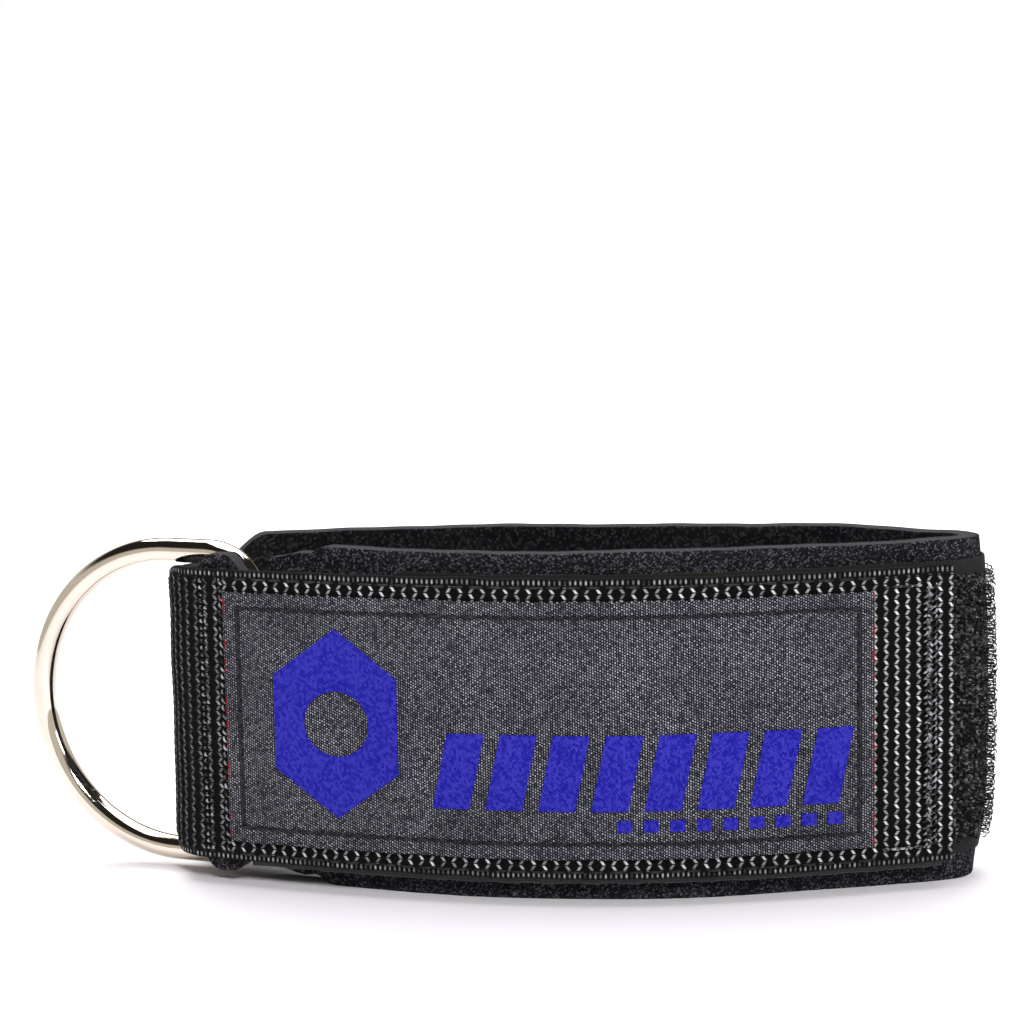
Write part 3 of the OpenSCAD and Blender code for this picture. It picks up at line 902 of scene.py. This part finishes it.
def keeper_line():
    """Middle line of the keeper, from its outer leg round the bar to its inner leg."""
    reach = BORE + KEEPER_T / 2
    points, normals = Route([LEAD]).sample(np.linspace(LEAD_IN + KEEPER_LEG, 0, 26))
    outer = points + (reach - PAD_T / 2) * normals
    inner = points[::-1] - (reach + PAD_T / 2) * normals[::-1]
    turns = HEAD_BAR - np.linspace(0, 180, 25)[1:-1]
    around = BAR + reach * outward(turns)
    line = np.concatenate([outer, around, inner])
    return line, np.concatenate([normals, outward(turns), -normals[::-1]])


def keeper():
    """Loop of light ribbed webbing round the ring's bar."""
    line, out = keeper_line()
    runs = np.concatenate([[0], np.cumsum(np.linalg.norm(np.diff(line, axis=0), axis=1))])
    off, z = band_profile(KEEPER_T - 0.1, KEEPER_H, 0.2, rows=40)
    bumps = 0.05 * np.cos(2 * np.pi * z / 1.5)
    runs_grid, z_grid = np.meshgrid(runs, z, indexing="ij")
    off_grid = np.tile(off + np.sign(off) * bumps, (len(runs), 1))
    uvs = np.stack([runs_grid, z_grid], axis=-1)
    return band_mesh("keeper", line, out, off_grid, z_grid + WEB_MID, uvs, WEBBING)


# ---- Label and its mark ----
TAIL = Route([TAIL_1, TAIL_2, TAIL_3])


def label_relief(runs, z):
    """How far the label's face stands out: hem, stitch groove and slack between."""
    edge = np.minimum(LABEL_H / 2 - np.abs(z), np.minimum(runs - LABEL_AT, LABEL_AT + LABEL_LEN - runs))
    groove = np.exp(-((edge - LABEL_HEM) / 0.55) ** 2)
    hem = 1 - smooth(edge, LABEL_HEM, LABEL_HEM + 1.2)
    slack = smooth(edge, LABEL_HEM, LABEL_HEM + 6)
    pucker = waves(runs, z, 5, seed=51) * np.exp(-((edge - LABEL_HEM) / 1.6) ** 2)
    wide = waves(runs, z * 0.5, 38, seed=52)
    return 0.10 * hem - 0.16 * groove + 0.26 * slack * (1 + wide) + 0.09 * pucker


def label():
    """Woven satin label, hemmed and sewn down all round."""
    profile = band_profile(LABEL_T, LABEL_H, 0.2, rows=84)

    def shape(runs, offs, z, face):
        relief = label_relief(runs, z) * (face > 0)
        rim = 0.12 * waves(runs, z * 0, 16, seed=53) * smooth(np.abs(z), 15, 21)
        return offs + relief, WEB_MID + z + rim

    runs = steps(LABEL_AT, LABEL_AT + LABEL_LEN, 0.5)
    return swept_band("satin_label", TAIL, runs, LABEL_T / 2, profile, LABEL, shape)


MARK_AT = 23.8               # the mark is laid out flat, from the fold, as the CAD model has it
PLATE_W = 24.0
PLATE_TALL = 32.0
PLATE_HOLE = 11.0
BLOCK_FROM = 16.0
BLOCK_Z = 16.4
BLOCK_W = 6.0
BLOCK_TALL = 12.6
BLOCK_LEAN = 2.6
BLOCK_STEP = 8.6
BLOCK_COUNT = 8
DASH_FROM = 46.0
DASH_DROP = 3.6
DASH_W = 2.4
DASH_TALL = 2.0
DASH_COUNT = 9
MARK_RISE = (MARK_T + 0.12) * 0.6
MARK_SINK = 0.2              # the mark's back lies this deep in the label


def plate_patch():
    """Six-sided plate with a round hole, as one ring between the hole and the edge."""
    grid = []
    for share in np.arange(0, 6, 1 / 12):
        side = int(share)
        t = math.radians(30 + 60 * share)
        ends = [math.radians(30 + 60 * k) for k in (side, side + 1)]
        corners = [np.array([PLATE_W * math.cos(e), PLATE_TALL * math.sin(e)]) / 2 for e in ends]
        rim = corners[0] + (corners[1] - corners[0]) * (share - side)
        hole = PLATE_HOLE / 2 * np.array([math.cos(t), math.sin(t)])
        grid.append([hole + (rim - hole) * k / 11 + (MARK_AT, WEB_MID) for k in range(12)])
    return np.array(grid)


def box_patch(x, z, width, tall, lean):
    """Grid of points over a leaning four-sided patch."""
    share = np.linspace(0, 1, max(4, int(width * 2)))[:, None]
    rise = np.linspace(0, 1, max(4, int(tall * 2)))[None, :]
    return np.stack([x + width * share + lean * rise, z + tall * rise + 0 * share], axis=-1)


def mark():
    """The label's blue mark: raised weave with turned-down edges."""
    patches = [plate_patch()]
    for i in range(BLOCK_COUNT):
        x = MARK_AT + BLOCK_FROM + i * BLOCK_STEP
        patches.append(box_patch(x, BLOCK_Z, BLOCK_W, BLOCK_TALL, BLOCK_LEAN))
    for i in range(DASH_COUNT):
        x = MARK_AT + DASH_FROM + i * BLOCK_STEP / 2
        patches.append(box_patch(x, BLOCK_Z - DASH_DROP, DASH_W, DASH_TALL, 0))
    fine_runs = np.linspace(0, TAIL_LEN, 1200)
    fine_x = TAIL.sample(fine_runs)[0][:, 0] - HINGE[0]
    vertices, faces, uvs = [], [], []
    for grid in patches:
        n, m, _ = grid.shape
        runs = np.interp(grid[..., 0], fine_x, fine_runs).ravel()
        z = grid[..., 1].ravel()
        points, normals = TAIL.sample(runs)
        base = LABEL_T + label_relief(runs, z - WEB_MID)
        for lift in (MARK_RISE, -MARK_SINK):
            skin = points + (base + lift)[:, None] * normals
            vertices += np.concatenate([skin, z[:, None]], axis=1).tolist()
            uvs += np.stack([runs, z], 1).tolist()
        first = len(vertices) - 2 * n * m
        faces += patch_faces(n, m, first, closed=grid is patches[0])
    return new_object("mark", vertices, faces, uvs, MARK)


def patch_faces(n, m, first, closed):
    """Faces of a thin patch: front, back and rim. A closed patch joins its last row to its first."""
    back = n * m
    faces = []
    for i in range(n if closed else n - 1):
        for j in range(m - 1):
            quad = [i * m + j, (i + 1) % n * m + j, (i + 1) % n * m + j + 1, i * m + j + 1]
            faces.append([first + v for v in quad])
            faces.append([first + back + v for v in quad[::-1]])
    if closed:
        rims = [[i * m for i in range(n)], [i * m + m - 1 for i in range(n - 1, -1, -1)]]
    else:
        rim = [i * m for i in range(n)] + [(n - 1) * m + j for j in range(1, m)]
        rims = [rim + [i * m + m - 1 for i in range(n - 2, -1, -1)] + list(range(m - 2, 0, -1))]
    for rim in rims:
        for a, b in zip(rim, rim[1:] + rim[:1]):
            faces.append([first + b, first + a, first + back + a, first + back + b])
    return faces


# ---- Stitching ----
FINE_THREAD = 0.42
TACK_THIN = 0.40
STRONG_THREAD = 0.45
STITCH_LEN = 2.2
SEAM_STEP = 3.2              # one stitch and the gap after it, along an edge
ROW_STEP = 2.6               # the same in the rows across the band
HEM_STEP = 2.9               # the same round the label
WEB_LOW = WEB_Z
WEB_HIGH = WEB_Z + WEB_H


def across_web(margin, step):
    """Heights of a row of stitches across the webbing, this far inside its edges."""
    return centred(WEB_LOW + margin, WEB_HIGH - margin, step)


def fold_stitches():
    """Double row next to the fold and a slanted row before the label."""
    double = seam(TAIL, (0.5, 1.4), across_web(2, 1.15), 0.0, 0.7, upright=True, slant=-0.5)
    return double + seam(TAIL, (4.35,), across_web(2, 1.35), 0.12, 1.25, upright=True, slant=-0.6)


def end_tack():
    """Dense zigzag tack near the tail's cut end, closed by a short row at each edge."""
    tack_at = TAIL_LEN - 4
    places = []
    for line, slant in ((-0.9, 0.9), (-0.1, -0.8), (0.7, 0.7)):
        heights = across_web(3, 1.05) + 0.3 * line
        places += seam(TAIL, (tack_at + line,), heights, 0.1, 1.1, upright=True, slant=slant)
    short = centred(tack_at - 8, tack_at - 2, 1.4)
    return places + seam(TAIL, short, (WEB_LOW + 3, WEB_HIGH - 3), 0.1, 1.2)


def hem_stitches():
    """One row all round the label, in its groove."""
    ends = (LABEL_AT + LABEL_HEM, LABEL_AT + LABEL_LEN - LABEL_HEM)
    sides = (WEB_MID - LABEL_H / 2 + LABEL_HEM, WEB_MID + LABEL_H / 2 - LABEL_HEM)
    off = LABEL_T - 0.06
    long_rows = seam(TAIL, centred(*ends, HEM_STEP), sides, off, STITCH_LEN)
    return long_rows + seam(TAIL, ends, centred(*sides, HEM_STEP), off, STITCH_LEN, upright=True)


def tail_stitches():
    """Every seam on the tail."""
    edges = (WEB_LOW + 1.4, WEB_HIGH - 1.4)
    edge_rows = seam(TAIL, centred(6.5, TAIL_LEN - 14, SEAM_STEP), edges, 0.0, STITCH_LEN)
    return (
        bars("tail_edge_stitches_threads", edge_rows, STITCH, FINE_THREAD),
        bars("fold_stitches_threads", fold_stitches(), TACK_THREAD, TACK_THIN),
        bars("tail_end_bartack_threads", end_tack(), TACK_THREAD, TACK_THIN),
        bars("label_stitches_threads", hem_stitches(), STITCH, FINE_THREAD),
    )


def band_stitches():
    """Every seam on the band's own body."""
    back = Route([BACK.offset(WEB_T)])
    start = HOOK_LAP + WEB_GAP
    edges = (WEB_LOW + 2.4, WEB_HIGH - 2.4)
    tape_edges = (WEB_LOW + 1.2, WEB_HIGH - 1.2)
    edge = seam(back, centred(start + 4, STRAP_FOLD - 9, SEAM_STEP), edges, 0.0, STITCH_LEN)
    anchor = seam(back, (start + 2.2, start + 4.7), across_web(4, ROW_STEP), 0.0, STITCH_LEN, upright=True)
    tape = []
    for first, last in ((PAD_BACK + 3, PAD_BACK + HOOK_LAP - 1.6), (PAD_BEND - 18, PAD_BEND - 1)):
        runs = centred(first, last, SEAM_STEP)
        tape += seam(PAD, runs, tape_edges, HOOK_BASE_T, STITCH_LEN)
    keeper_z = centred(WEB_MID - KEEPER_H / 2 + 2, WEB_MID + KEEPER_H / 2 - 2, ROW_STEP)
    reach = BORE + KEEPER_T - PAD_T / 2
    sewn = seam(PAD, (LEAD_IN + 6.5, LEAD_IN + 9), keeper_z, reach, STITCH_LEN, upright=True)
    return (
        bars("webbing_edge_stitches_threads", edge, STITCH, FINE_THREAD),
        bars("webbing_start_bartack_threads", anchor, STITCH, STRONG_THREAD),
        bars("hook_tape_stitches_threads", tape, STITCH, FINE_THREAD),
        bars("keeper_stitches_threads", sewn, STITCH, STRONG_THREAD),
    )


# ---- Putting the pieces on their bodies ----
def place(obj, body, slot, *nodes):
    """The piece rides on a body and stands for CAD nodes."""
    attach(obj, body)
    finish_piece(obj, slot, *nodes)


def bend_at_fold(obj, slot, *nodes):
    """Bakes the place of a piece at the fold, between the cuff and its tail, into its mesh, and hides the
    CAD nodes it replaces.
    """
    start = (HINGE[0] * MM, (HINGE[1] + HINGE_SPAN) * MM, WEB_MID * MM)
    end = (HINGE[0] * MM, HINGE[1] * MM, WEB_MID * MM)
    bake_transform(obj)
    finish_piece(obj, slot, *nodes)


def finish_piece(obj, slot, *nodes):
    if nodes:
        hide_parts(*nodes)


def build_cuff():
    layers = pad_layers()
    for name, node, tab in (("foam", "foam_core", "foam_tab"), ("jersey", "outer_jersey", "jersey_tab"),
                            ("lining", "plush_lining", "lining_tab")):
        run, fold = layers[name]
        place(run, "cuff", name, node)
        bend_at_fold(fold, name, tab)
    bend_at_fold(webbing_strap(), "webbing", "webbing_band", "webbing_tail")
    place(hook_tape(), "cuff", "hook_tape", "hook_tape")
    middle = (HOOK_FROM + PAD_BACK + HOOK_LAP) / 2
    place(hook_field("hooks_front", HOOK_FROM + 1, middle, 31), "cuff", "hook_tape")
    place(hook_field("hooks_bend", middle + HOOK_STEP, PAD_BACK + HOOK_LAP - 1, 32), "cuff", "hook_tape")
    place(loop_tape(), "tail", "loop_tape", "loop_tape")
    place(d_ring(), "ring", "ring_metal", "d_ring")
    place(keeper(), "cuff", "keeper", "ring_keeper")
    tag = label()
    blue = mark()
    place(tag, "tail", "label", "woven_label")
    place(blue, "tail", "mark", "label_mark")
    for body, seams in (("tail", tail_stitches()), ("cuff", band_stitches())):
        for obj in seams:
            place(obj, body, "thread", obj.name.removesuffix("_threads"))


# ---- Studio ----
def floor():
    """Plain pale board under the cuff."""
    across = np.linspace(-700, 700, 15)
    deep = np.linspace(-500, 900, 15)
    vertices = [(x, y, 0.0) for y in deep for x in across]
    m = len(across)
    faces = [
        [i * m + j, i * m + j + 1, (i + 1) * m + j + 1, (i + 1) * m + j]
        for i in range(len(deep) - 1) for j in range(m - 1)
    ]
    new_object("floor", vertices, faces, [v[:2] for v in vertices], floor_material())


def softbox(name, place_m, aim_m, width, height, power):
    """Rectangular lamp at a place in metres, aimed at another, with its power in watts."""
    light = bpy.data.lights.new(name, "AREA")
    light.shape = "RECTANGLE"
    light.size = width
    light.size_y = height
    light.energy = power
    obj = bpy.data.objects.new(name, light)
    obj.location = place_m
    obj.rotation_euler = (Vector(aim_m) - Vector(place_m)).to_track_quat("-Z", "Y").to_euler()
    bpy.context.scene.collection.objects.link(obj)


def room_light(tree, low, high, dark_end, bright_end, warmth):
    """Background whose strength depends on the height of the direction looked at."""
    at = tree.nodes.new("ShaderNodeTexCoord")
    parts = tree.nodes.new("ShaderNodeSeparateXYZ")
    connect(tree, parts.inputs[0], at.outputs["Generated"])
    room = tree.nodes.new("ShaderNodeBackground")
    room.inputs[0].default_value = (*warmth, 1)
    rise = Signal(tree, parts.outputs[2]).ramp(low, high)
    connect(tree, room.inputs[1], rise.between(dark_end, bright_end))
    return room.outputs[0]


def choose(tree, ray, otherwise, when):
    """One background for the rest of the rays, another when they are of this kind."""
    path = tree.nodes.new("ShaderNodeLightPath")
    either = tree.nodes.new("ShaderNodeMixShader")
    tree.links.new(path.outputs[ray], either.inputs[0])
    tree.links.new(otherwise, either.inputs[1])
    tree.links.new(when, either.inputs[2])
    return either.outputs[0]


def surroundings():
    """A soft ceiling, pale walls that only shiny things mirror, and white behind the cuff."""
    world = bpy.data.worlds.new("studio")
    world.use_nodes = True
    tree = world.node_tree
    ceiling = room_light(tree, 0.05, 0.75, 0.05, 0.30, (0.97, 0.97, 1.0))
    walls = room_light(tree, 0.30, 0.50, 0.70, 0.02, (1.0, 0.95, 0.86))
    seen = tree.nodes["Background"]
    seen.inputs[0].default_value = (1.0, 1.0, 1.0, 1)
    lit = choose(tree, "Is Glossy Ray", ceiling, walls)
    sight = choose(tree, "Is Camera Ray", lit, seen.outputs[0])
    tree.links.new(sight, tree.nodes["World Output"].inputs[0])
    bpy.context.scene.world = world
    bpy.context.scene.view_settings.view_transform = "Standard"


def studio():
    middle = (0.0, 0.0, 0.03)
    softbox("key", (0.10, -0.62, 0.50), middle, 0.16, 0.16, 3.8)
    softbox("fill", (0.55, -0.50, 0.30), middle, 0.20, 0.20, 0.9)
    softbox("top", (0.0, 0.0, 0.95), middle, 0.8, 0.6, 5.5)
    softbox("floor_wash", (0.0, 0.9, 1.2), (0.0, 0.5, 0.0), 1.6, 0.7, 22)
    surroundings()


CAMERA_AT = (0.0148, -0.4415, 0.1254)
CAMERA_LEFT = 1.523          # degrees
CAMERA_DOWN = 8.062
CAMERA_ROLL = -1.10
CAMERA_LENS = 93.09


def camera():
    """Long lens, a little above the cuff, looking back, slightly left and down."""
    data = bpy.data.cameras.new("camera")
    data.sensor_width = 36.0
    data.lens = CAMERA_LENS
    obj = bpy.data.objects.new("camera", data)
    left = Matrix.Rotation(math.radians(CAMERA_LEFT), 4, "Z")
    down = Matrix.Rotation(math.radians(90 - CAMERA_DOWN), 4, "X")
    roll = Matrix.Rotation(math.radians(CAMERA_ROLL), 4, "Z")
    obj.matrix_world = Matrix.Translation(CAMERA_AT) @ left @ down @ roll
    bpy.context.scene.collection.objects.link(obj)
    bpy.context.scene.camera = obj


camera()
studio()
floor()
build_cuff()
